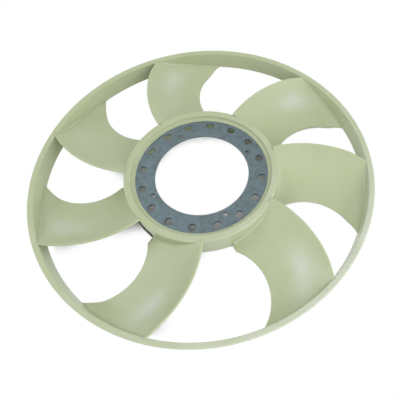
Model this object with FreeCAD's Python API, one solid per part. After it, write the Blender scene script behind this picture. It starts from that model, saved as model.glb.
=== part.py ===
import FreeCAD, Part
import math
import os

# Axial cooling fan impeller: hub, swept blades and outer rim moulded in one piece, a steel
# mounting ring moulded into the hub, and a steel balance clip on the hub wall.
# Millimetres. Z is the fan axis and the front of the fan looks up. The fan lies on the rear
# edge of its hub at z = 0. Heights named ..._HEIGHT on rim, band and blades count from the
# front face of the mounting ring, and are negative towards the rear.

Vector = FreeCAD.Vector
AXIS = Vector(0, 0, 1)
ORIGIN = Vector(0, 0, 0)
FULL_TURN = 360.0
SAME_SIZE = 0.01

# Mounting ring: stamped steel, with a large bore and two circles of holes
FACE_Z = 28.0
RING_THICKNESS = 3.0
LARGE_HOLE_COUNT = 16
LARGE_HOLE_R = 5.0
LARGE_HOLE_CIRCLE_R = 76.0
LARGE_HOLE_START = 11.25
# Steel left between the larger holes' circle and the ring's two edges
RING_OUTSIDE_WIDTH = 15.0
RING_INSIDE_WIDTH = 16.8
RING_OUTER_R = LARGE_HOLE_CIRCLE_R + RING_OUTSIDE_WIDTH
RING_BORE_R = LARGE_HOLE_CIRCLE_R - RING_INSIDE_WIDTH
BORE_CHAMFER = 0.4
SMALL_HOLE_COUNT = 4
SMALL_HOLE_R = 3.25
SMALL_HOLE_FROM_BORE = 7.0
SMALL_HOLE_CIRCLE_R = RING_BORE_R + SMALL_HOLE_FROM_BORE
SMALL_HOLE_START = 0.0

# Hub: a tapering wall, a raised band round the front, and two ledges that grip the ring
HUB_INSIDE_CLEARANCE = 1.0
HUB_WALL = 3.6
HUB_TAPER = 1.5
HUB_INSIDE_R = RING_OUTER_R + HUB_INSIDE_CLEARANCE
HUB_REAR_R = HUB_INSIDE_R + HUB_WALL
HUB_FRONT_R = HUB_REAR_R + HUB_TAPER
HUB_INSIDE_BEVEL = 1.5
HUB_REAR_BEVEL = 0.6
BAND_HEIGHT = 5.8
BAND_OVER_RING = 3.3
BAND_INSIDE_R = RING_OUTER_R - BAND_OVER_RING
BAND_DRAFT = 0.5
BAND_OUTER_BEVEL = 1.2
BAND_INNER_BEVEL = 0.6
FRONT_LEDGE_WIDTH = 4.1
FRONT_LEDGE_THICKNESS = 0.7
BACK_LEDGE_UNDER_RING = 6.4
BACK_LEDGE_R = RING_OUTER_R - BACK_LEDGE_UNDER_RING
BACK_LEDGE_THICKNESS = 3.2

# Rim: a wall that draws in towards the rear, with a rounded lip turned outwards at the front
LIP_OUTER_R = 214.8
LIP_WIDTH = 6.9
LIP_INNER_R = LIP_OUTER_R - LIP_WIDTH
LIP_HEIGHT = 3.7
LIP_FALL = 0.9
LIP_THICKNESS = 2.9
LIP_BEVEL = 0.9
RIM_DRAW_IN = 3.3
RIM_REAR_R = LIP_INNER_R - RIM_DRAW_IN
RIM_REAR_HEIGHT = -19.5
RIM_WALL = 2.8
RIM_REAR_BEVEL = 0.5

# Blades: the directions of their rear root corners, which are unevenly spaced to break up noise
BLADE_DIRECTIONS = (59.8, 110.6, 155.2, 204.9, 265.5, 311.6, 357.3)
ROOT_THICKNESS = 3.2
TIP_THICKNESS = 2.6
# Seen along the axis each edge is an arc. Its ends are given as angles past the blade's direction,
# and its radius as a share of the distance between them.
REAR_EDGE_ARC = 0.6594
REAR_TIP_ANGLE = -2.25
ROOT_STEP = 9.7
ROOT_STEP_R = HUB_FRONT_R + ROOT_STEP
FRONT_EDGE_ARC = 1.2075
FRONT_ROOT_ANGLE = 41.3
FRONT_TIP_ANGLE = 23.9
# Heights of the two edges, which end level with the rear and the front of the rim
REAR_ROOT_HEIGHT = -22.0
REAR_EDGE_FALL = 3.9
FRONT_ROOT_HEIGHT = 6.8
FRONT_EDGE_FALL = 1.3
RIM_BLEND_WIDTH = 17.0
RIM_BLEND_END = 3.0
# Camber as a share of the chord, and its skew towards the rear (minus) or front (plus) edge
ROOT_CAMBER = 0.045
TIP_CAMBER = 0.064
ROOT_SKEW = -0.4
TIP_SKEW = 0.45
# Share of half the thickness that is bevelled off both edges, on the front side
EDGE_BEVEL = 0.6
CAMBER_POINTS = 5
SLOPE_STEP = 0.001
# Shares of the span from hub wall to rim wall; the first and last lie beyond the walls
BLADE_SECTIONS = (-0.13, 0.0, 0.12, 0.3, 0.5, 0.7, 0.84, 0.91, 0.96, 1.0, 1.07)

# Balance clip: a strip of spring steel bent over the hub's rear edge
CLIP_DIRECTION = 196.2
CLIP_ARC = 15.0
CLIP_THICKNESS = 1.2
CLIP_LEG = 13.0
CLIP_BEND_ROUND = 1.0
CLIP_CORNER_ROUND = 3.0

RING_BACK_Z = FACE_Z - RING_THICKNESS
BAND_Z = FACE_Z + BAND_HEIGHT
LIP_Z = FACE_Z + LIP_HEIGHT
LIP_INNER_Z = LIP_Z - LIP_FALL
RIM_REAR_Z = FACE_Z + RIM_REAR_HEIGHT
CLEAR = LIP_OUTER_R


def revolve(points, angle=FULL_TURN):
    """Solid of revolution of a closed profile given as (radius, z) pairs."""
    corners = [Vector(r, 0, z) for r, z in points]
    wire = Part.makePolygon(corners + [corners[0]])
    return Part.Face(wire).revolve(ORIGIN, AXIS, angle)


def circles(shape, radius, z):
    """The circular edges of a shape that have this radius and lie at this height."""
    found = []
    for edge in shape.Edges:
        curve = edge.Curve
        if isinstance(curve, Part.Circle):
            if abs(curve.Radius - radius) < SAME_SIZE and abs(curve.Center.z - z) < SAME_SIZE:
                found.append(edge)
    return found


def on_circle(radius, degrees, z):
    """Point at a radius, direction and height."""
    angle = math.radians(degrees)
    return Vector(radius * math.cos(angle), radius * math.sin(angle), z)


def make_mounting_ring():
    """Steel ring with both circles of holes and its bore, whose front edge is broken."""
    ring = Part.makeCylinder(RING_OUTER_R, RING_THICKNESS, Vector(0, 0, RING_BACK_Z))
    cuts = [Part.makeCylinder(RING_BORE_R, RING_THICKNESS, Vector(0, 0, RING_BACK_Z))]
    for index in range(LARGE_HOLE_COUNT):
        direction = LARGE_HOLE_START + index * FULL_TURN / LARGE_HOLE_COUNT
        centre = on_circle(LARGE_HOLE_CIRCLE_R, direction, RING_BACK_Z)
        cuts.append(Part.makeCylinder(LARGE_HOLE_R, RING_THICKNESS, centre))
    for index in range(SMALL_HOLE_COUNT):
        direction = SMALL_HOLE_START + index * FULL_TURN / SMALL_HOLE_COUNT
        centre = on_circle(SMALL_HOLE_CIRCLE_R, direction, RING_BACK_Z)
        cuts.append(Part.makeCylinder(SMALL_HOLE_R, RING_THICKNESS, centre))
    ring = ring.cut(cuts)
    return ring.makeChamfer(BORE_CHAMFER, circles(ring, RING_BORE_R, FACE_Z))


def hub_wall_r(z):
    """Radius of the hub's tapering outer wall at a height."""
    return HUB_REAR_R + (HUB_FRONT_R - HUB_REAR_R) * z / BAND_Z


def make_hub():
    """Hub wall and front band, grooved for the mounting ring between its two ledges."""
    front_ledge_r = BAND_INSIDE_R - FRONT_LEDGE_WIDTH
    front_ledge_z = FACE_Z + FRONT_LEDGE_THICKNESS
    back_ledge_z = RING_BACK_Z - BACK_LEDGE_THICKNESS
    hub = revolve((
        (HUB_REAR_R, 0),
        (HUB_FRONT_R, BAND_Z),
        (BAND_INSIDE_R + BAND_DRAFT, BAND_Z),
        (BAND_INSIDE_R, front_ledge_z),
        (front_ledge_r, front_ledge_z),
        (front_ledge_r, FACE_Z),
        (RING_OUTER_R, FACE_Z),
        (RING_OUTER_R, RING_BACK_Z),
        (BACK_LEDGE_R, RING_BACK_Z),
        (BACK_LEDGE_R, back_ledge_z),
        (HUB_INSIDE_R, back_ledge_z),
        (HUB_INSIDE_R, 0),
    ))
    hub = hub.makeChamfer(BAND_OUTER_BEVEL, circles(hub, HUB_FRONT_R, BAND_Z))
    hub = hub.makeChamfer(BAND_INNER_BEVEL, circles(hub, BAND_INSIDE_R + BAND_DRAFT, BAND_Z))
    hub = hub.makeChamfer(HUB_INSIDE_BEVEL, circles(hub, HUB_INSIDE_R, back_ledge_z))
    return hub.makeChamfer(HUB_REAR_BEVEL, circles(hub, HUB_REAR_R, 0))


def make_rim():
    """Outer rim: the tapering wall and its outward lip, all edges broken."""
    lip_back_z = LIP_Z - LIP_THICKNESS
    rim = revolve((
        (RIM_REAR_R, RIM_REAR_Z),
        (RIM_REAR_R + RIM_WALL, RIM_REAR_Z),
        (LIP_INNER_R + RIM_WALL, lip_back_z),
        (LIP_OUTER_R, lip_back_z),
        (LIP_OUTER_R, LIP_Z),
        (LIP_INNER_R, LIP_INNER_Z),
    ))
    outer_edges = circles(rim, LIP_OUTER_R, LIP_Z) + circles(rim, LIP_OUTER_R, lip_back_z)
    rim = rim.makeChamfer(LIP_BEVEL, outer_edges)
    rim = rim.makeChamfer(LIP_BEVEL, circles(rim, LIP_INNER_R, LIP_INNER_Z))
    rear_edges = circles(rim, RIM_REAR_R, RIM_REAR_Z)
    rear_edges += circles(rim, RIM_REAR_R + RIM_WALL, RIM_REAR_Z)
    return rim.makeChamfer(RIM_REAR_BEVEL, rear_edges)


def edge_angle(radius, start, end, arc):
    """Direction, in radians, at which a blade edge's arc from start to end crosses a radius.

    The arc's centre is on the right of the way from start to end. Nearer the fan axis than the arc
    reaches, its nearest point counts.
    """
    chord = end - start
    arc_r = chord.Length * arc
    height = math.sqrt(arc_r ** 2 - (chord.Length / 2) ** 2)
    centre = start + chord * 0.5 + Vector(chord.y, -chord.x, 0).normalize() * height
    reach = centre.Length
    turn = (radius ** 2 + reach ** 2 - arc_r ** 2) / (2 * radius * reach)
    return math.atan2(centre.y, centre.x) + math.acos(min(turn, 1))


def blend_to_rim(radius):
    """Nought over most of the span, rising smoothly to one where the blade meets the rim."""
    share = (radius - LIP_INNER_R + RIM_BLEND_WIDTH + RIM_BLEND_END) / RIM_BLEND_WIDTH
    share = min(max(share, 0), 1)
    return share * share * (3 - 2 * share)


def blade_section(span, flat):
    """Blade outline at a share of the span, laid round the fan axis or, for an end, flat."""
    radius = HUB_FRONT_R + span * (LIP_INNER_R - HUB_FRONT_R)
    share = min(max(span, 0), 1)
    edge_r = max(radius, HUB_FRONT_R)
    half = (ROOT_THICKNESS + share * (TIP_THICKNESS - ROOT_THICKNESS)) / 2
    blend = blend_to_rim(radius)

    rear_root = on_circle(ROOT_STEP_R, 0, 0)
    rear_tip = on_circle(RIM_REAR_R, REAR_TIP_ANGLE, 0)
    rear_angle = edge_angle(edge_r, rear_root, rear_tip, REAR_EDGE_ARC)
    rear_height = REAR_ROOT_HEIGHT - REAR_EDGE_FALL * share ** 2
    rear_height += blend * (RIM_REAR_HEIGHT + half - rear_height)
    front_root = on_circle(HUB_FRONT_R, FRONT_ROOT_ANGLE, 0)
    front_tip = on_circle(LIP_INNER_R, FRONT_TIP_ANGLE, 0)
    front_angle = edge_angle(edge_r, front_root, front_tip, FRONT_EDGE_ARC)
    front_height = FRONT_ROOT_HEIGHT - FRONT_EDGE_FALL * share
    front_height += blend * (LIP_HEIGHT - LIP_FALL - front_height)

    rear = Vector(radius * rear_angle, FACE_Z + rear_height, 0)
    front = Vector(radius * front_angle, FACE_Z + front_height, 0)
    chord = front - rear
    depth = Vector(chord.y, -chord.x, 0) * (ROOT_CAMBER + share * (TIP_CAMBER - ROOT_CAMBER))
    skew = ROOT_SKEW + share * (TIP_SKEW - ROOT_SKEW)
    middle = (rear.x + front.x) / 2

    def camber_line(s):
        return rear + chord * s + depth * (4 * s * (1 - s) * (1 + skew * (2 * s - 1)))

    def place(point):
        if flat:
            foot = Vector(radius, point.x - middle, point.y)
            return FreeCAD.Rotation(AXIS, math.degrees(middle / radius)).multVec(foot)
        return on_circle(radius, math.degrees(point.x / radius), point.y)

    def face_point(s, side):
        slope = camber_line(s + SLOPE_STEP) - camber_line(s - SLOPE_STEP)
        return place(camber_line(s) + Vector(-slope.y, slope.x, 0).normalize() * half * side)

    bevel = EDGE_BEVEL * half / chord.Length
    steps = [i / (CAMBER_POINTS - 1) for i in range(CAMBER_POINTS)]
    front_side = Part.BSplineCurve()
    front_points = [face_point(bevel + s * (1 - 2 * bevel), 1) for s in steps]
    front_side.interpolate(Points=front_points, Parameters=steps)
    back_side = Part.BSplineCurve()
    back_side.interpolate(Points=[face_point(s, -1) for s in reversed(steps)], Parameters=steps)
    front_corner = face_point(1, 1 - EDGE_BEVEL)
    rear_corner = face_point(0, 1 - EDGE_BEVEL)
    outline = (
        front_side,
        Part.LineSegment(front_side.EndPoint, front_corner),
        Part.LineSegment(front_corner, back_side.StartPoint),
        back_side,
        Part.LineSegment(back_side.EndPoint, rear_corner),
        Part.LineSegment(rear_corner, front_side.StartPoint),
    )
    return Part.Wire([curve.toShape() for curve in outline])


def make_blade():
    """One swept and cambered blade, ending inside the hub wall and the rim wall."""
    ends = (BLADE_SECTIONS[0], BLADE_SECTIONS[-1])
    blade = Part.makeLoft([blade_section(span, span in ends) for span in BLADE_SECTIONS], True, False)
    hub_middle_r = (HUB_INSIDE_R + HUB_REAR_R) / 2
    rim_middle = RIM_WALL / 2
    rim_rear_z = RIM_REAR_Z + RIM_REAR_BEVEL
    room = revolve((
        (hub_middle_r, HUB_REAR_BEVEL),
        (RIM_REAR_R, HUB_REAR_BEVEL),
        (RIM_REAR_R, rim_rear_z),
        (RIM_REAR_R + rim_middle, rim_rear_z),
        (LIP_INNER_R + rim_middle, LIP_INNER_Z),
        (LIP_INNER_R, LIP_INNER_Z),
        (LIP_INNER_R, CLEAR),
        (hub_middle_r, CLEAR),
    ))
    root_step = Part.makeBox(ROOT_STEP_R, ROOT_STEP_R, CLEAR, Vector(0, -ROOT_STEP_R, 0))
    return blade.common(room).cut(root_step)


def make_balance_clip():
    """Spring steel strip with one leg outside and one inside the hub wall."""
    clip = revolve((
        (HUB_REAR_R + CLIP_THICKNESS, 0),
        (hub_wall_r(CLIP_LEG) + CLIP_THICKNESS, CLIP_LEG),
        (hub_wall_r(CLIP_LEG), CLIP_LEG),
        (hub_wall_r(CLIP_THICKNESS), CLIP_THICKNESS),
        (HUB_INSIDE_R, CLIP_THICKNESS),
        (HUB_INSIDE_R, CLIP_LEG),
        (HUB_INSIDE_R - CLIP_THICKNESS, CLIP_LEG),
        (HUB_INSIDE_R - CLIP_THICKNESS, 0),
    ), CLIP_ARC)
    bends = circles(clip, HUB_REAR_R + CLIP_THICKNESS, 0) + circles(clip, HUB_INSIDE_R - CLIP_THICKNESS, 0)
    clip = clip.makeFillet(CLIP_BEND_ROUND, bends)
    corners = []
    for edge in clip.Edges:
        if abs(edge.CenterOfMass.z - CLIP_LEG) < SAME_SIZE and edge.Length < CLIP_THICKNESS + SAME_SIZE:
            corners.append(edge)
    clip = clip.makeFillet(CLIP_CORNER_ROUND, corners)
    clip.rotate(ORIGIN, AXIS, CLIP_DIRECTION - CLIP_ARC / 2)
    return clip


def make_impeller(clip):
    """The whole moulding, with the clip's seat let into the rear edge of the hub wall."""
    first_blade = make_blade()
    blades = []
    for direction in BLADE_DIRECTIONS:
        blade = first_blade.copy()
        blade.rotate(ORIGIN, AXIS, direction)
        blades.append(blade)
    return make_hub().cut(clip).fuse([make_rim()] + blades)


def main():
    os.makedirs("parts", exist_ok=True)
    clip = make_balance_clip()
    pieces = {
        "impeller": make_impeller(clip),
        "mounting_ring": make_mounting_ring(),
        "balance_clip": clip,
    }
    for name, shape in pieces.items():
        shape.exportStep("parts/" + name + ".step")
        state = "valid" if shape.isValid() else "invalid"
        print(name, state, len(shape.Solids), "solid", round(shape.Volume), "mm3")


main()
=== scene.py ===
"""Axial cooling fan impeller: a pale green nylon moulding of hub, seven blades and rim round a drilled
steel mounting ring, with a small steel balance clip on the hub. It lies on a white studio floor."""

import cmath
import math

import bpy
from mathutils import Matrix, Vector


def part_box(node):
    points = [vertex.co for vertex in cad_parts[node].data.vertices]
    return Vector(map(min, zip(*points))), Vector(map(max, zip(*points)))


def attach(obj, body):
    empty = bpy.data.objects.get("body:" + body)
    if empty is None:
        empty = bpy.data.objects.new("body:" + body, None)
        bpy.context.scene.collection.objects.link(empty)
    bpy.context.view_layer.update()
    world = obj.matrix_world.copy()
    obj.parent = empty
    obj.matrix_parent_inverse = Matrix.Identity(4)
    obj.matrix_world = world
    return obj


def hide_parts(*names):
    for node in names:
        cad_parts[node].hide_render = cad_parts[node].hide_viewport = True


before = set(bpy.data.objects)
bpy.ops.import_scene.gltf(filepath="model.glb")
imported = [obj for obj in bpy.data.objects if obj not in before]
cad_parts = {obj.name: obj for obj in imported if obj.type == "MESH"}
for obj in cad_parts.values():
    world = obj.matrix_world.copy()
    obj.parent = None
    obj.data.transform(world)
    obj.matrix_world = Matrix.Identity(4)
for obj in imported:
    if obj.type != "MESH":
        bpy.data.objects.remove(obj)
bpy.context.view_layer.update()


# Hub and rim: the round parts of the one-piece nylon moulding. The hub wall carries a raised band that
# grips the steel ring between two ledges, and the rim is a thin wall with a lip turned outwards. Each is
# a profile with rounded corners, turned about the fan axis.

MM = 0.001
face_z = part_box("mounting_ring")[1].z / MM
ring_back_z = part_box("mounting_ring")[0].z / MM
ring_outer_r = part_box("mounting_ring")[1].x / MM
lip_outer_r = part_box("impeller")[1].x / MM

HUB_REAR_R = ring_outer_r + 4.6
HUB_FRONT_R = ring_outer_r + 6.1
HUB_INSIDE_R = ring_outer_r + 1.0
BAND_Z = face_z + 5.8
BAND_INSIDE_R = ring_outer_r - 3.3
FRONT_LEDGE_R = ring_outer_r - 7.4
FRONT_LEDGE_Z = face_z + 0.7
BACK_LEDGE_R = ring_outer_r - 6.4
BACK_LEDGE_Z = ring_back_z - 3.2

LIP_INNER_R = lip_outer_r - 6.9
LIP_Z = face_z + 3.7
LIP_INNER_Z = LIP_Z - 0.9
LIP_BACK_Z = LIP_Z - 2.9
RIM_REAR_R = LIP_INNER_R - 3.3
RIM_REAR_Z = face_z - 19.5
RIM_WALL = 2.8

# Corners as radius, height and how far the corner is rounded, clockwise with the axis on the left, in
# millimetres as all sizes here
hub_corners = [
    (HUB_INSIDE_R, 0, 0.8),
    (HUB_INSIDE_R, BACK_LEDGE_Z, 2.0),
    (BACK_LEDGE_R, BACK_LEDGE_Z, 0.5),
    (BACK_LEDGE_R, ring_back_z, 0),
    (ring_outer_r, ring_back_z, 0),
    (ring_outer_r, face_z, 0),
    (FRONT_LEDGE_R, face_z, 0),
    (FRONT_LEDGE_R, FRONT_LEDGE_Z, 0.4),
    (BAND_INSIDE_R, FRONT_LEDGE_Z, 2.4),
    (BAND_INSIDE_R + 0.5, BAND_Z, 1.5),
    (HUB_FRONT_R, BAND_Z, 1.8),
    (HUB_REAR_R, 0, 0.8),
]
rim_corners = [
    (RIM_REAR_R, RIM_REAR_Z, 0.7),
    (LIP_INNER_R, LIP_INNER_Z, 1.3),
    (lip_outer_r, LIP_Z, 1.2),
    (lip_outer_r, LIP_BACK_Z, 1.2),
    (LIP_INNER_R + RIM_WALL, LIP_BACK_Z, 1.0),
    (RIM_REAR_R + RIM_WALL, RIM_REAR_Z, 0.7),
]


def add_node(tree, kind, links=None, **settings):
    """A node with its settings, its inputs joined to other nodes' outputs or set to values."""
    node = tree.nodes.new(kind)
    for name, value in settings.items():
        setattr(node, name, value)
    for socket, value in (links or {}).items():
        if isinstance(value, bpy.types.NodeSocket):
            tree.links.new(value, node.inputs[socket])
        else:
            node.inputs[socket].default_value = value
    return node


def new_tree(name, inputs):
    """A Geometry Nodes tree with named inputs: (tree, its input node)."""
    tree = bpy.data.node_groups.new(name, "GeometryNodeTree")
    tree.interface.new_socket("Geometry", in_out="OUTPUT", socket_type="NodeSocketGeometry")
    tree.interface.new_socket("Geometry", in_out="INPUT", socket_type="NodeSocketGeometry")
    for label, kind in inputs.items():
        tree.interface.new_socket(label, in_out="INPUT", socket_type="NodeSocket" + kind)
    return tree, tree.nodes.new("NodeGroupInput")


def grow(mesh, tree, values, name):
    """The plain mesh that a tree makes from a start mesh and these values of its inputs."""
    start = bpy.data.objects.new(name, mesh)
    bpy.context.scene.collection.objects.link(start)
    modifier = start.modifiers.new(name, "NODES")
    modifier.node_group = tree
    for item in tree.interface.items_tree:
        if item.in_out == "INPUT" and item.name in values:
            modifier[item.identifier] = values[item.name]
    graph = bpy.context.evaluated_depsgraph_get()
    grown = bpy.data.meshes.new_from_object(start.evaluated_get(graph))
    grown.name = name
    bpy.data.objects.remove(start)
    return grown


turning, turning_in = new_tree("profile turned about an axis", {
    "Path Radius": "Float",
    "Steps Around": "Int",
    "Steps in a Corner": "Int",
    "Material": "Material",
})
outline = add_node(turning, "GeometryNodeMeshToCurve", {"Mesh": turning_in.outputs["Geometry"]})
corner_size = add_node(turning, "GeometryNodeInputNamedAttribute", {
    "Name": "corner round",
}, data_type="FLOAT")
rounded = add_node(turning, "GeometryNodeFilletCurve", {
    "Curve": outline.outputs[0],
    "Count": turning_in.outputs["Steps in a Corner"],
    "Radius": corner_size.outputs[0],
    "Limit Radius": True,
}, mode="POLY")
path = add_node(turning, "GeometryNodeCurvePrimitiveCircle", {
    "Resolution": turning_in.outputs["Steps Around"],
    "Radius": turning_in.outputs["Path Radius"],
})
turned = add_node(turning, "GeometryNodeCurveToMesh", {
    "Curve": path.outputs[0],
    "Profile Curve": rounded.outputs[0],
})
turned_real = add_node(turning, "GeometryNodeRealizeInstances", {0: turned.outputs[0]})
turned_finish = add_node(turning, "GeometryNodeSetMaterial", {
    "Geometry": turned_real.outputs[0],
    "Material": turning_in.outputs["Material"],
})
add_node(turning, "NodeGroupOutput", {0: turned_finish.outputs[0]})


STEPS_AROUND = 240
CORNER_STEPS = 4


def turned_mesh(name, corners, material):
    """A ring of revolution from corners given as radius, height and rounding, in millimetres."""
    path_r = sum(r for r, _, _ in corners) / len(corners)
    profile = bpy.data.meshes.new(name)
    points = [((r - path_r) * MM, -z * MM, 0) for r, z, _ in corners]
    profile.from_pydata(points, [(i, (i + 1) % len(points)) for i in range(len(points))], [])
    rounds = profile.attributes.new("corner round", "FLOAT", "POINT")
    rounds.data.foreach_set("value", [size * MM for _, _, size in corners])
    return grow(profile, turning, {
        "Path Radius": path_r * MM,
        "Steps Around": STEPS_AROUND,
        "Steps in a Corner": CORNER_STEPS,
        "Material": material,
    }, name)


def linear(hex_colour):
    """The linear RGBA that Blender needs for an sRGB hex colour."""
    channels = [int(hex_colour[i : i + 2], 16) / 255 for i in (1, 3, 5)]
    return tuple(c / 12.92 if c <= 0.04045 else ((c + 0.055) / 1.055) ** 2.4 for c in channels) + (1.0,)


def new_material(name, **values):
    """A material with a Principled shader, its sockets set by name: (material, node tree, shader)."""
    material = bpy.data.materials.new(name)
    material.use_nodes = True
    tree = material.node_tree
    tree.nodes.clear()
    shader = add_node(tree, "ShaderNodeBsdfPrincipled")
    for socket, value in values.items():
        shader.inputs[socket.replace("_", " ")].default_value = value
    add_node(tree, "ShaderNodeOutputMaterial", {"Surface": shader.outputs[0]})
    return material, tree, shader


def blend(tree, share, start, end):
    """Output socket of a colour between two hex colours, at a share given by a socket."""
    colours = add_node(tree, "ShaderNodeMix", {
        0: share,
        6: linear(start),
        7: linear(end),
    }, data_type="RGBA")
    return colours.outputs[2]


# Nylon 6 straight from a satin mould and never painted: a waxy pale green with soft highlights. A little
# light goes in and comes out again near thin edges, and the colour and gloss drift slightly, as the
# filled resin flowed unevenly. Where a mesh's sheen attributes are above 0 the colour is paler: a
# painted sheen, highlight painted into the base colour
LIGHT_DEPTH = 3.0
FLOW_PATCH = 26.0
FLOW_ROUGHNESS = (0.28, 0.35)
SHEEN_UNEVENNESS = (0.3, 1.3)
nylon, nylon_tree, nylon_shader = new_material(
    "injection-moulded natural nylon",
    IOR=1.53,
    Subsurface_Weight=0.35,
    Subsurface_Radius=(1.0, 1.0, 0.6),
    Subsurface_Scale=LIGHT_DEPTH * MM,
)
nylon_place = add_node(nylon_tree, "ShaderNodeTexCoord").outputs["Object"]
flow = add_node(nylon_tree, "ShaderNodeTexNoise", {
    "Vector": nylon_place,
    "Scale": 1 / (FLOW_PATCH * MM),
    "Detail": 2.0,
})
nylon_tone = blend(nylon_tree, flow.outputs[0], "#BAC69C", "#C3CCAA")
# Painted sheen: where the attributes ask for it, a paler colour is mixed into the base colour
painted_sheen = add_node(nylon_tree, "ShaderNodeAttribute", attribute_name="painted_sheen")
painted_sheen_strength = add_node(nylon_tree, "ShaderNodeAttribute", attribute_name="blush strength")
unevenness = add_node(nylon_tree, "ShaderNodeMapRange", {
    0: flow.outputs[0],
    3: SHEEN_UNEVENNESS[0],
    4: SHEEN_UNEVENNESS[1],
})
uneven_painted_sheen = add_node(nylon_tree, "ShaderNodeMath", {
    0: painted_sheen.outputs["Fac"],
    1: unevenness.outputs[0],
}, operation="MULTIPLY")
painted_sheen_share = add_node(nylon_tree, "ShaderNodeMath", {
    0: uneven_painted_sheen.outputs[0],
    1: painted_sheen_strength.outputs["Fac"],
}, operation="MULTIPLY")
# The base colour, mixed towards the pale colour of the painted sheen
nylon_colour = add_node(nylon_tree, "ShaderNodeMix", {
    0: painted_sheen_share.outputs[0],
    6: nylon_tone,
    7: linear("#D5DBCE"),
}, data_type="RGBA")
nylon_tree.links.new(nylon_colour.outputs[2], nylon_shader.inputs["Base Color"])
nylon_gloss = add_node(nylon_tree, "ShaderNodeMapRange", {
    0: flow.outputs[0],
    3: FLOW_ROUGHNESS[0],
    4: FLOW_ROUGHNESS[1],
})
nylon_tree.links.new(nylon_gloss.outputs[0], nylon_shader.inputs["Roughness"])

hub = turned_mesh("hub", hub_corners, nylon)
rim = turned_mesh("rim", rim_corners, nylon)

# Painted sheen: the band's crest and the rim's lip are paler on one side of the fan, a highlight painted
# into their colour, most towards this direction, in degrees
SHEEN_DIRECTION = 285
SHEEN_SPREAD = 60
SHEEN_BAND_DEPTH = 2
SHEEN_BAND = 0.3
SHEEN_LIP = 0.85


def bell(value, middle, spread):
    """Bell curve of height 1."""
    return math.exp(-(((value - middle) / spread) ** 2))


def paint_sheen_on_one_side(mesh, lowest, strength):
    """Gives a turned mesh the attributes of a painted sheen above a height, most on one side of the fan.
    """
    sheen_shares = []
    for vertex in mesh.vertices:
        direction = math.degrees(math.atan2(vertex.co.y, vertex.co.x))
        off = (direction - SHEEN_DIRECTION + 180) % 360 - 180
        above = vertex.co.z > lowest * MM
        sheen_shares.append(strength * bell(off, 0, SHEEN_SPREAD) if above else 0)
    mesh.attributes.new("painted_sheen", "FLOAT", "POINT").data.foreach_set("value", sheen_shares)
    mesh.attributes.new("blush strength", "FLOAT", "POINT").data.foreach_set("value", [1] * len(sheen_shares))


paint_sheen_on_one_side(hub, BAND_Z - SHEEN_BAND_DEPTH, SHEEN_BAND)
paint_sheen_on_one_side(rim, LIP_BACK_Z, SHEEN_LIP)


# Blades: seven, moulded with the hub and rim and set at uneven spacing so that they hum less. Each is a
# cambered sheet whose section lies on a cylinder about the axis. Its edges are arcs seen along the axis,
# its faces flare into the hub wall and the rim wall with moulded fillets, and its edges are round.

# Angles in degrees, cambers and skews as shares of the chord, an edge's arc as its radius by its chord
BLADE_DIRECTIONS = (59.8, 110.6, 155.2, 204.9, 265.5, 311.6, 357.3)
ROOT_THICKNESS = 3.2
TIP_THICKNESS = 2.6
ROOT_STEP_R = HUB_FRONT_R + 9.7
REAR_EDGE_ARC = 0.6594
REAR_TIP_ANGLE = -2.25
FRONT_EDGE_ARC = 1.2075
FRONT_ROOT_ANGLE = 41.3
FRONT_TIP_ANGLE = 23.9
REAR_ROOT_Z = face_z - 22.0
REAR_EDGE_FALL = 3.9
FRONT_ROOT_Z = face_z + 6.8
FRONT_EDGE_FALL = 1.3
RIM_BLEND_START = LIP_INNER_R - 20.0
RIM_BLEND_WIDTH = 17.0
ROOT_CAMBER = 0.045
TIP_CAMBER = 0.064
ROOT_SKEW = -0.4
TIP_SKEW = 0.45
HUB_FILLET = 3.0
RIM_FILLET = 3.0
# Distance from the band's top, or from either edge of the rim, over which a fillet grows to full size
BAND_ROOM = 8.0
RIM_ROOM = 6.0
# How far a blade's ends run into the hub wall and the rim wall
BURIED = 1.3
CHORD_STEPS = 26
EDGE_STEPS = 6
SPAN_STEPS = 24
HALVINGS = 20
# Distances from a wall at which the skin has a ring, close together where the fillet curves most
NEAR_WALL = (0, 0.6, 1.3, 1.6, 2.0, 2.5, 3.1, 3.8, 4.6, 6.0, 8.0)
# Painted sheen on each blade, a paler patch that stands in for a highlight: its strength on each
# blade, where its middle is, as shares of reach and chord, and how far it spreads
BLADE_PAINTED_SHEENS = (0.75, 0.2, 0.8, 1.0, 1.0, 0.0, 0.85)
PAINTED_SHEEN_REACH = (0.71, 0.2)
PAINTED_SHEEN_CHORD = (0.57, 0.18)


def polar(radius, degrees):
    """Plan point as a complex number."""
    return cmath.rect(radius, math.radians(degrees))


def between(start, end, share):
    """The value at a share of the way from start to end."""
    return start + (end - start) * share


def edge_direction(radius, start, end, arc):
    """Direction at which an arc from start to end, with the axis on its left, crosses a radius."""
    chord = end - start
    arc_r = abs(chord) * arc
    height = math.sqrt(arc_r**2 - (abs(chord) / 2) ** 2)
    centre = (start + end) / 2 - 1j * chord / abs(chord) * height
    turn = (radius**2 + abs(centre) ** 2 - arc_r**2) / (2 * radius * abs(centre))
    return cmath.phase(centre) + math.acos(min(turn, 1))


def hub_wall(z):
    """Radius of the hub's tapering outer wall at a height."""
    return between(HUB_REAR_R, HUB_FRONT_R, z / BAND_Z)


def rim_wall(z):
    """Radius of the rim's inner wall at a height."""
    return between(RIM_REAR_R, LIP_INNER_R, (z - RIM_REAR_Z) / (LIP_INNER_Z - RIM_REAR_Z))


def fillet(gap, size):
    """How far a round fillet stands off a face at this distance from the wall."""
    gap = min(max(gap, 0), size)
    return size - math.sqrt(size**2 - (size - gap) ** 2)


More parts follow.
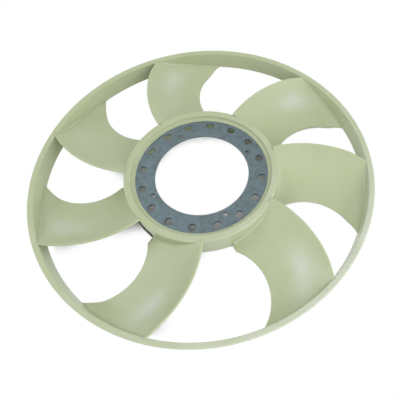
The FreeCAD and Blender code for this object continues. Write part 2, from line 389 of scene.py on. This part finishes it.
def section(radius):
    """The blade on a cylinder: its rear corner, chord and camber, as (along the circle, height)."""
    span = min(max((radius - HUB_FRONT_R) / (LIP_INNER_R - HUB_FRONT_R), 0), 1)
    edge_r = max(radius, HUB_FRONT_R)
    half = between(ROOT_THICKNESS, TIP_THICKNESS, span) / 2
    blending = min(max((radius - RIM_BLEND_START) / RIM_BLEND_WIDTH, 0), 1)
    in_rim = blending * blending * (3 - 2 * blending)
    rear_ends = polar(ROOT_STEP_R, 0), polar(RIM_REAR_R, REAR_TIP_ANGLE)
    rear_x = radius * edge_direction(edge_r, *rear_ends, REAR_EDGE_ARC)
    front_ends = polar(HUB_FRONT_R, FRONT_ROOT_ANGLE), polar(LIP_INNER_R, FRONT_TIP_ANGLE)
    front_x = radius * edge_direction(edge_r, *front_ends, FRONT_EDGE_ARC)
    rear_z = between(REAR_ROOT_Z - REAR_EDGE_FALL * span**2, RIM_REAR_Z + half, in_rim)
    front_z = between(FRONT_ROOT_Z - FRONT_EDGE_FALL * span, LIP_INNER_Z, in_rim)
    rear = complex(rear_x, rear_z)
    chord = complex(front_x, front_z) - rear
    camber = -1j * chord * between(ROOT_CAMBER, TIP_CAMBER, span)
    return rear, chord, camber, between(ROOT_SKEW, TIP_SKEW, span), half


def camber_point(cut, share):
    """Point on the middle line of a section at a share of its chord."""
    rear, chord, camber, skew, _ = cut
    return rear + chord * share + camber * 4 * share * (1 - share) * (1 + skew * (2 * share - 1))


def rear_share(cut, radius):
    """Share of the chord at which the blade starts: inside the root step it is cut off straight."""
    if radius >= ROOT_STEP_R:
        return 0.0
    low, high = 0.0, 0.5
    for _ in range(HALVINGS):
        middle = (low + high) / 2
        if camber_point(cut, middle).real < 0:
            low = middle
        else:
            high = middle
    return low


def blade_point(reach, step, edge_turn, side):
    """Surface point: reach is from hub (0) to rim (1), step along the chord, edge_turn round an edge."""
    radius = between(HUB_FRONT_R, LIP_INNER_R, reach)
    # The walls' radii depend on the height, and the height on the radius, so three rounds find them
    for _ in range(3):
        cut = section(radius)
        start = rear_share(cut, radius)
        z = camber_point(cut, between(start, 1, step)).imag
        radius = between(hub_wall(z) - BURIED, rim_wall(z) + BURIED, reach)
    cut = section(radius)
    start = rear_share(cut, radius)
    under_band = min(max((BAND_Z - z) / BAND_ROOM, 0), 1)
    half = cut[4] + fillet(radius - hub_wall(z), HUB_FILLET * under_band)
    room = min(z - cut[4] - RIM_REAR_Z, LIP_INNER_Z - z)
    half += fillet(rim_wall(z) - radius, RIM_FILLET * min(max(room / RIM_ROOM, 0), 1))
    inset = half / abs(cut[1])
    share = between(start + inset, 1 - inset, step)
    slope = camber_point(cut, share + 0.001) - camber_point(cut, share - 0.001)
    along = slope / abs(slope)
    point = camber_point(cut, share)
    outwards = along * (1 if step else -1)
    point += half * (side * math.cos(edge_turn) * 1j * along + math.sin(edge_turn) * outwards)
    plan = cmath.rect(radius, point.real / radius)
    return (plan.real * MM, plan.imag * MM, point.imag * MM)


def blade_mesh(name):
    """One blade as a closed skin of rings, each ring running round the section."""
    ring = []
    for i in range(CHORD_STEPS + 1):
        ring.append((i / CHORD_STEPS, 0, 1))
    for i in range(1, EDGE_STEPS):
        turn = math.pi * i / EDGE_STEPS
        ring.append((1, turn, 1))
    for i in range(CHORD_STEPS + 1):
        ring.append((1 - i / CHORD_STEPS, 0, -1))
    for i in range(1, EDGE_STEPS):
        turn = math.pi * i / EDGE_STEPS
        ring.append((0, turn, -1))
    span = rim_wall(LIP_INNER_Z) - HUB_FRONT_R
    step_at = ROOT_STEP_R - hub_wall(REAR_ROOT_Z) + BURIED
    reaches = [gap / span for gap in NEAR_WALL]
    reaches += [(step_at - 0.1) / span, (step_at + 0.1) / span]
    reaches += [0.12 + 0.8 * i / SPAN_STEPS for i in range(SPAN_STEPS + 1)]
    reaches += [1 - gap / span for gap in reversed(NEAR_WALL[:-2])]
    points = [blade_point(reach, *place) for reach in reaches for place in ring]
    # Painted sheen: a paler patch at the same place on each blade
    painted_sheen = []
    for reach in reaches:
        painted_sheen += [bell(reach, *PAINTED_SHEEN_REACH) * bell(place[0], *PAINTED_SHEEN_CHORD) for place in ring]
    count = len(ring)
    faces = [tuple(range(count))]
    for row in range(len(reaches) - 1):
        for i in range(count):
            j = (i + 1) % count
            a, b = row * count, (row + 1) * count
            faces.append((a + i, b + i, b + j, a + j))
    faces.append(tuple(reversed(range((len(reaches) - 1) * count, len(reaches) * count))))
    mesh = bpy.data.meshes.new(name)
    mesh.from_pydata(points, [], faces)
    mesh.attributes.new("painted_sheen", "FLOAT", "POINT").data.foreach_set("value", painted_sheen)
    mesh.validate()
    return mesh


blade_object = bpy.data.objects.new("blade", blade_mesh("blade"))
bpy.context.scene.collection.objects.link(blade_object)

set_out, set_out_in = new_tree("blades set out round the hub", {
    "Blade": "Object",
    "Material": "Material",
})
blade = add_node(set_out, "GeometryNodeObjectInfo", {"Object": set_out_in.outputs["Blade"]})
direction = add_node(set_out, "GeometryNodeInputNamedAttribute", {
    "Name": "direction",
}, data_type="FLOAT")
turn = add_node(set_out, "ShaderNodeCombineXYZ", {"Z": direction.outputs[0]})
copies = add_node(set_out, "GeometryNodeInstanceOnPoints", {
    "Points": set_out_in.outputs["Geometry"],
    "Instance": blade.outputs["Geometry"],
    "Rotation": turn.outputs[0],
})
copies_real = add_node(set_out, "GeometryNodeRealizeInstances", {0: copies.outputs[0]})
copies_finish = add_node(set_out, "GeometryNodeSetMaterial", {
    "Geometry": copies_real.outputs[0],
    "Material": set_out_in.outputs["Material"],
})
add_node(set_out, "NodeGroupOutput", {0: copies_finish.outputs[0]})

points = bpy.data.meshes.new("blade places")
points.from_pydata([(0, 0, 0)] * len(BLADE_DIRECTIONS), [], [])
directions = points.attributes.new("direction", "FLOAT", "POINT")
directions.data.foreach_set("value", [math.radians(angle) for angle in BLADE_DIRECTIONS])
# Each blade's strength of the painted sheen
points.attributes.new("blush strength", "FLOAT", "POINT").data.foreach_set("value", BLADE_PAINTED_SHEENS)
blades = grow(points, set_out, {"Blade": blade_object, "Material": nylon}, "blades")
bpy.data.objects.remove(blade_object)


SHARP_ANGLE = 35


def join(name, meshes):
    """One object from its meshes, smooth but for its sharp corners."""
    parts = []
    for mesh in meshes:
        part = bpy.data.objects.new(name, mesh)
        bpy.context.scene.collection.objects.link(part)
        parts.append(part)
    if len(parts) > 1:
        with bpy.context.temp_override(active_object=parts[0], selected_editable_objects=parts):
            bpy.ops.object.join()
    joined = parts[0]
    joined.data.polygons.foreach_set("use_smooth", [True] * len(joined.data.polygons))
    joined.data.set_sharp_from_angle(angle=math.radians(SHARP_ANGLE))
    return joined


impeller = join("nylon_moulding", [hub, rim, blades])
weighted = impeller.modifiers.new("flat faces keep flat shading", "WEIGHTED_NORMAL")
weighted.keep_sharp = True
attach(impeller, "root")
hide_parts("impeller")


# Mounting ring: 3 mm steel plate, stamped out and pierced with sixteen bolt holes and four small ones,
# then plated a dull blue grey. The punch has rounded the front edges a little, and the hub is moulded
# round the ring's outer edge.

BORE_R = ring_outer_r - 31.8
PUNCHED_EDGE = 0.5
ROUND_STEPS = 160
HOLE_STEPS = 40
PUNCH_STEPS = 4
WELD_GAP = 0.01
HOLES = {
    "Large Hole": {"Count": 16, "Radius": 5.0, "Circle": ring_outer_r - 15.0, "Start": 11.25},
    "Small Hole": {"Count": 4, "Radius": 3.25, "Circle": ring_outer_r - 24.8, "Start": 0.0},
}

plate_inputs = {"Outside Radius": "Float", "Bore Radius": "Float", "Thickness": "Float", "Edge": "Float"}
for hole in HOLES:
    plate_inputs.update({
        hole + " Count": "Int",
        hole + " Radius": "Float",
        hole + " Circle": "Float",
        hole + " Start": "Float",
    })
plate_inputs.update({"Front Height": "Float", "Material": "Material"})
plate, plate_in = new_tree("plate pierced with circles of holes", plate_inputs)
sizes = plate_in.outputs


def widened(radius, widening):
    """Output socket of a radius made larger."""
    return add_node(plate, "ShaderNodeMath", {0: radius, 1: widening}, operation="ADD").outputs[0]


def hole_outlines(widening):
    """Circles round the bore and every hole, each widened by a socket's value or by nothing."""
    outlines = add_node(plate, "GeometryNodeJoinGeometry")
    bore_r = sizes["Bore Radius"]
    if widening:
        bore_r = widened(bore_r, widening)
    bore = add_node(plate, "GeometryNodeCurvePrimitiveCircle", {
        "Resolution": ROUND_STEPS,
        "Radius": bore_r,
    })
    plate.links.new(bore.outputs[0], outlines.inputs[0])
    for hole in HOLES:
        hole_r = sizes[hole + " Radius"]
        if widening:
            hole_r = widened(hole_r, widening)
        outline = add_node(plate, "GeometryNodeCurvePrimitiveCircle", {
            "Resolution": HOLE_STEPS,
            "Radius": hole_r,
        })
        around = add_node(plate, "GeometryNodeMeshCircle", {
            "Vertices": sizes[hole + " Count"],
            "Radius": sizes[hole + " Circle"],
        })
        turn = add_node(plate, "ShaderNodeCombineXYZ", {"Z": sizes[hole + " Start"]})
        places = add_node(plate, "GeometryNodeTransform", {
            "Geometry": around.outputs[0],
            "Rotation": turn.outputs[0],
        })
        copies = add_node(plate, "GeometryNodeInstanceOnPoints", {
            "Points": places.outputs[0],
            "Instance": outline.outputs[0],
        })
        real = add_node(plate, "GeometryNodeRealizeInstances", {0: copies.outputs[0]})
        plate.links.new(real.outputs[0], outlines.inputs[0])
    return outlines.outputs[0]


def face_between(outlines, outside):
    """Flat face with the outlines cut out of it."""
    both = add_node(plate, "GeometryNodeJoinGeometry")
    plate.links.new(outlines, both.inputs[0])
    plate.links.new(outside, both.inputs[0])
    return add_node(plate, "GeometryNodeFillCurve", {"Curve": both.outputs[0]}).outputs[0]


outside = add_node(plate, "GeometryNodeCurvePrimitiveCircle", {
    "Resolution": ROUND_STEPS,
    "Radius": sizes["Outside Radius"],
}).outputs[0]
holes = hole_outlines(None)
front_face = face_between(hole_outlines(sizes["Edge"]), outside)
back_flat = face_between(holes, outside)
depth = add_node(plate, "ShaderNodeMath", {0: sizes["Thickness"], 1: -1.0}, operation="MULTIPLY")
behind = add_node(plate, "ShaderNodeCombineXYZ", {"Z": depth.outputs[0]})
back_moved = add_node(plate, "GeometryNodeTransform", {
    "Geometry": back_flat,
    "Translation": behind.outputs[0],
})
back_face = add_node(plate, "GeometryNodeFlipFaces", {"Mesh": back_moved.outputs[0]}).outputs[0]

# A wall's profile runs up from the back of the plate and over its rounded front edge
wall_foot = add_node(plate, "ShaderNodeCombineXYZ", {"Y": sizes["Thickness"]}).outputs[0]
wall_head = add_node(plate, "ShaderNodeCombineXYZ", {"Y": sizes["Edge"]}).outputs[0]
edge_end = add_node(plate, "ShaderNodeCombineXYZ", {"X": sizes["Edge"]}).outputs[0]
straight = add_node(plate, "GeometryNodeCurvePrimitiveLine", {"Start": wall_foot, "End": wall_head})
over_edge = add_node(plate, "GeometryNodeCurveQuadraticBezier", {
    "Resolution": PUNCH_STEPS,
    "Start": wall_head,
    "Middle": (0, 0, 0),
    "End": edge_end,
})
wall_profile = add_node(plate, "GeometryNodeJoinGeometry")
plate.links.new(straight.outputs[0], wall_profile.inputs[0])
plate.links.new(over_edge.outputs[0], wall_profile.inputs[0])
hole_walls = add_node(plate, "GeometryNodeCurveToMesh", {
    "Curve": holes,
    "Profile Curve": wall_profile.outputs[0],
})
down = add_node(plate, "GeometryNodeCurvePrimitiveLine", {"Start": (0, 0, 0), "End": wall_foot})
outer_wall = add_node(plate, "GeometryNodeCurveToMesh", {
    "Curve": outside,
    "Profile Curve": down.outputs[0],
})

plate_parts = add_node(plate, "GeometryNodeJoinGeometry")
for part in (front_face, back_face, hole_walls.outputs[0], outer_wall.outputs[0]):
    plate.links.new(part, plate_parts.inputs[0])
welded = add_node(plate, "GeometryNodeMergeByDistance", {
    "Geometry": plate_parts.outputs[0],
    "Distance": WELD_GAP * MM,
})
raised = add_node(plate, "ShaderNodeCombineXYZ", {"Z": sizes["Front Height"]})
in_place = add_node(plate, "GeometryNodeTransform", {
    "Geometry": welded.outputs[0],
    "Translation": raised.outputs[0],
})
plate_real = add_node(plate, "GeometryNodeRealizeInstances", {0: in_place.outputs[0]})
plate_finish = add_node(plate, "GeometryNodeSetMaterial", {
    "Geometry": plate_real.outputs[0],
    "Material": sizes["Material"],
})
add_node(plate, "NodeGroupOutput", {0: plate_finish.outputs[0]})

# Dull blue-grey zinc on rolled steel: part metal, part haze, with a mottle of duller patches a few
# millimetres across, where the plating took unevenly
ZINC_PATCH = 7.0
ZINC_GRAIN = 1.2
ZINC_GRAIN_HEIGHT = 0.1
ZINC_ROUGHNESS = (0.46, 0.62)
steel, steel_tree, steel_shader = new_material(
    "stamped steel plate, blue-grey zinc plating",
    Metallic=0.8,
)
steel_place = add_node(steel_tree, "ShaderNodeTexCoord").outputs["Object"]
patches = add_node(steel_tree, "ShaderNodeTexNoise", {
    "Vector": steel_place,
    "Scale": 1 / (ZINC_PATCH * MM),
    "Detail": 4.0,
    "Roughness": 0.65,
    "Distortion": 0.8,
})
dull = add_node(steel_tree, "ShaderNodeMapRange", {0: patches.outputs[0], 1: 0.4, 2: 0.62})
steel_tone = blend(steel_tree, dull.outputs[0], "#6E7E85", "#657476")
steel_tree.links.new(steel_tone, steel_shader.inputs["Base Color"])
steel_gloss = add_node(steel_tree, "ShaderNodeMapRange", {
    0: dull.outputs[0],
    3: ZINC_ROUGHNESS[0],
    4: ZINC_ROUGHNESS[1],
})
steel_tree.links.new(steel_gloss.outputs[0], steel_shader.inputs["Roughness"])
zinc_grain = add_node(steel_tree, "ShaderNodeTexNoise", {
    "Vector": steel_place,
    "Scale": 1 / (ZINC_GRAIN * MM),
    "Detail": 2.0,
})
zinc = add_node(steel_tree, "ShaderNodeBump", {
    "Height": zinc_grain.outputs[0],
    "Strength": 0.2,
    "Distance": ZINC_GRAIN_HEIGHT * MM,
})
steel_tree.links.new(zinc.outputs[0], steel_shader.inputs["Normal"])

plate_values = {
    "Outside Radius": ring_outer_r * MM,
    "Bore Radius": BORE_R * MM,
    "Thickness": (face_z - ring_back_z) * MM,
    "Edge": PUNCHED_EDGE * MM,
    "Front Height": face_z * MM,
    "Material": steel,
}
for hole, values in HOLES.items():
    plate_values[hole + " Count"] = values["Count"]
    plate_values[hole + " Radius"] = values["Radius"] * MM
    plate_values[hole + " Circle"] = values["Circle"] * MM
    plate_values[hole + " Start"] = math.radians(values["Start"])
ring = join("steel_ring", [grow(bpy.data.meshes.new("steel ring"), plate, plate_values, "steel ring")])
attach(ring, "root")
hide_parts("mounting_ring")


# Balance clip: a short strip of spring steel bent over the rear edge of the hub wall and held there by
# its own spring. It is the solid itself, and only its material is set: a dark grey-green steel with a
# faint metal sheen.

spring = new_material(
    "dark spring steel strip",
    Base_Color=linear("#4A544A"),
    Metallic=0.8,
    Roughness=0.5,
)[0]
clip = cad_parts["balance_clip"]
clip.data.materials.clear()
clip.data.materials.append(spring)


# Floor: white studio paper. Seen straight or in a reflection it is pure white where it lies open, and
# plain shaded paper close under the fan, so that the fan keeps a soft shadow.

FLOOR_SIDE = 12.0
# How far round a point of the paper is looked for things over it, and the shares of open sky at which it
# counts as shaded and as lying open
SHADE_DISTANCE = 40.0
SHADE_SAMPLES = 16
SHADED = 0.2
OPEN = 0.36
# The white disc of paper inside the hub, which the bore lays open to the photo's side, and the width over
# which white turns to plain paper there
OPEN_DISC_PLACE = Vector((4.7, 18.8, 0)) * MM
OPEN_DISC_R = 62.5
PLAIN_FADE = 2.0
floor_mesh = bpy.data.meshes.new("floor")
half_floor = FLOOR_SIDE / 2
floor_corners = [(x * half_floor, y * half_floor, 0) for x, y in ((-1, -1), (1, -1), (1, 1), (-1, 1))]
floor_mesh.from_pydata(floor_corners, [], [(0, 1, 2, 3)])
floor = bpy.data.objects.new("floor", floor_mesh)
bpy.context.scene.collection.objects.link(floor)
paper = bpy.data.materials.new("white studio paper")
paper.use_nodes = True
paper_tree = paper.node_tree
paper_tree.nodes.clear()


def seen_rays(tree):
    """Output socket that is 1 for rays from the camera, in a reflection or through a clear thing."""
    rays = add_node(tree, "ShaderNodeLightPath")
    seen = rays.outputs["Is Camera Ray"]
    for kind in ("Is Glossy Ray", "Is Transmission Ray"):
        either = add_node(tree, "ShaderNodeMath", {0: seen, 1: rays.outputs[kind]}, operation="MAXIMUM")
        seen = either.outputs[0]
    return seen


plain = add_node(paper_tree, "ShaderNodeBsdfDiffuse", {"Color": linear("#D8D8D8")})
white = add_node(paper_tree, "ShaderNodeEmission", {"Color": (1, 1, 1, 1), "Strength": 1.0})
openness = add_node(paper_tree, "ShaderNodeAmbientOcclusion", {
    "Distance": SHADE_DISTANCE * MM,
}, samples=SHADE_SAMPLES)
lying_open = add_node(paper_tree, "ShaderNodeMapRange", {
    0: openness.outputs["AO"],
    1: SHADED,
    2: OPEN,
}, interpolation_type="SMOOTHSTEP")

# Under the hub the paper stays plain but for that disc, so that the ring's holes show its shade
paper_place = add_node(paper_tree, "ShaderNodeTexCoord").outputs["Object"]
hub_reach = add_node(paper_tree, "ShaderNodeVectorMath", {0: paper_place}, operation="LENGTH")
under_hub = add_node(paper_tree, "ShaderNodeMapRange", {
    0: hub_reach.outputs["Value"],
    1: HUB_REAR_R * MM,
    2: (HUB_REAR_R - PLAIN_FADE) * MM,
})
disc_reach = add_node(paper_tree, "ShaderNodeVectorMath", {
    0: paper_place,
    1: OPEN_DISC_PLACE,
}, operation="DISTANCE")
past_disc = add_node(paper_tree, "ShaderNodeMapRange", {
    0: disc_reach.outputs["Value"],
    1: OPEN_DISC_R * MM,
    2: (OPEN_DISC_R + PLAIN_FADE) * MM,
})
kept_plain = add_node(paper_tree, "ShaderNodeMath", {
    0: under_hub.outputs[0],
    1: past_disc.outputs[0],
}, operation="MULTIPLY")
whiteness = add_node(paper_tree, "ShaderNodeMix", {
    0: kept_plain.outputs[0],
    2: lying_open.outputs[0],
    3: 0.0,
})

paper_seen = add_node(paper_tree, "ShaderNodeMixShader", {
    0: whiteness.outputs[0],
    1: plain.outputs[0],
    2: white.outputs[0],
})
paper_finish = add_node(paper_tree, "ShaderNodeMixShader", {
    0: seen_rays(paper_tree),
    1: plain.outputs[0],
    2: paper_seen.outputs[0],
})
add_node(paper_tree, "ShaderNodeOutputMaterial", {"Surface": paper_finish.outputs[0]})
floor_mesh.materials.append(paper)


# Light: a pale sky, which is a white backdrop where it is seen, and large soft lamps round the fan.

SKY = 0.53
LAMP_SPREAD = 0.6
world = bpy.data.worlds.new("studio")
bpy.context.scene.world = world
world.use_nodes = True
sky_tree = world.node_tree
sky_tree.nodes.clear()
sky = add_node(sky_tree, "ShaderNodeBackground", {"Color": (1, 1, 1, 1), "Strength": SKY})
backdrop = add_node(sky_tree, "ShaderNodeBackground", {"Color": (1, 1, 1, 1), "Strength": 1.0})
sky_finish = add_node(sky_tree, "ShaderNodeMixShader", {
    0: seen_rays(sky_tree),
    1: sky.outputs[0],
    2: backdrop.outputs[0],
})
add_node(sky_tree, "ShaderNodeOutputWorld", {"Surface": sky_finish.outputs[0]})


def soft_lamp(name, azimuth, elevation, distance, power):
    """A square area lamp that points at the middle of the fan, as wide as a share of its distance."""
    data = bpy.data.lights.new(name, "AREA")
    data.size = LAMP_SPREAD * distance
    data.energy = power
    lamp = bpy.data.objects.new(name, data)
    bpy.context.scene.collection.objects.link(lamp)
    level = math.radians(elevation)
    plan = cmath.rect(distance * math.cos(level), math.radians(azimuth))
    lamp.location = (plan.real, plan.imag, distance * math.sin(level))
    lamp.rotation_euler = lamp.location.to_track_quat("Z", "Y").to_euler()


soft_lamp("behind left", 140, 45, 1.7, 6.7)
soft_lamp("front", 270, 25, 0.8, 1.5)
soft_lamp("front right", 315, 45, 0.8, 0.92)
soft_lamp("low right", 335, 20, 1.7, 4.9)


# Camera: where the photograph was taken from, close above the near left edge.

CAMERA_PLACE = Vector((-0.0739, -0.2963, 0.4851))
CAMERA_AIM = Vector((0.0344, -0.0754, 0.028))
CAMERA_ROLL = math.radians(-2.85)
PHOTO_SIDE = 400
FOCAL_PIXELS = 431.7
OPTICAL_AXIS = (254.3, 207.5)
camera_data = bpy.data.cameras.new("photo camera")
camera_data.sensor_width = 36
camera_data.lens = FOCAL_PIXELS / PHOTO_SIDE * camera_data.sensor_width
camera_data.shift_x = (PHOTO_SIDE / 2 - OPTICAL_AXIS[0]) / PHOTO_SIDE
camera_data.shift_y = (OPTICAL_AXIS[1] - PHOTO_SIDE / 2) / PHOTO_SIDE
camera_data.clip_start = 0.01
camera = bpy.data.objects.new("photo camera", camera_data)
bpy.context.scene.collection.objects.link(camera)
look = (CAMERA_PLACE - CAMERA_AIM).to_track_quat("Z", "Y").to_matrix()
rolled = look @ Matrix.Rotation(CAMERA_ROLL, 3, "Z")
camera.matrix_world = Matrix.Translation(CAMERA_PLACE) @ rolled.to_4x4()
bpy.context.scene.camera = camera
bpy.context.scene.view_settings.view_transform = "Standard"
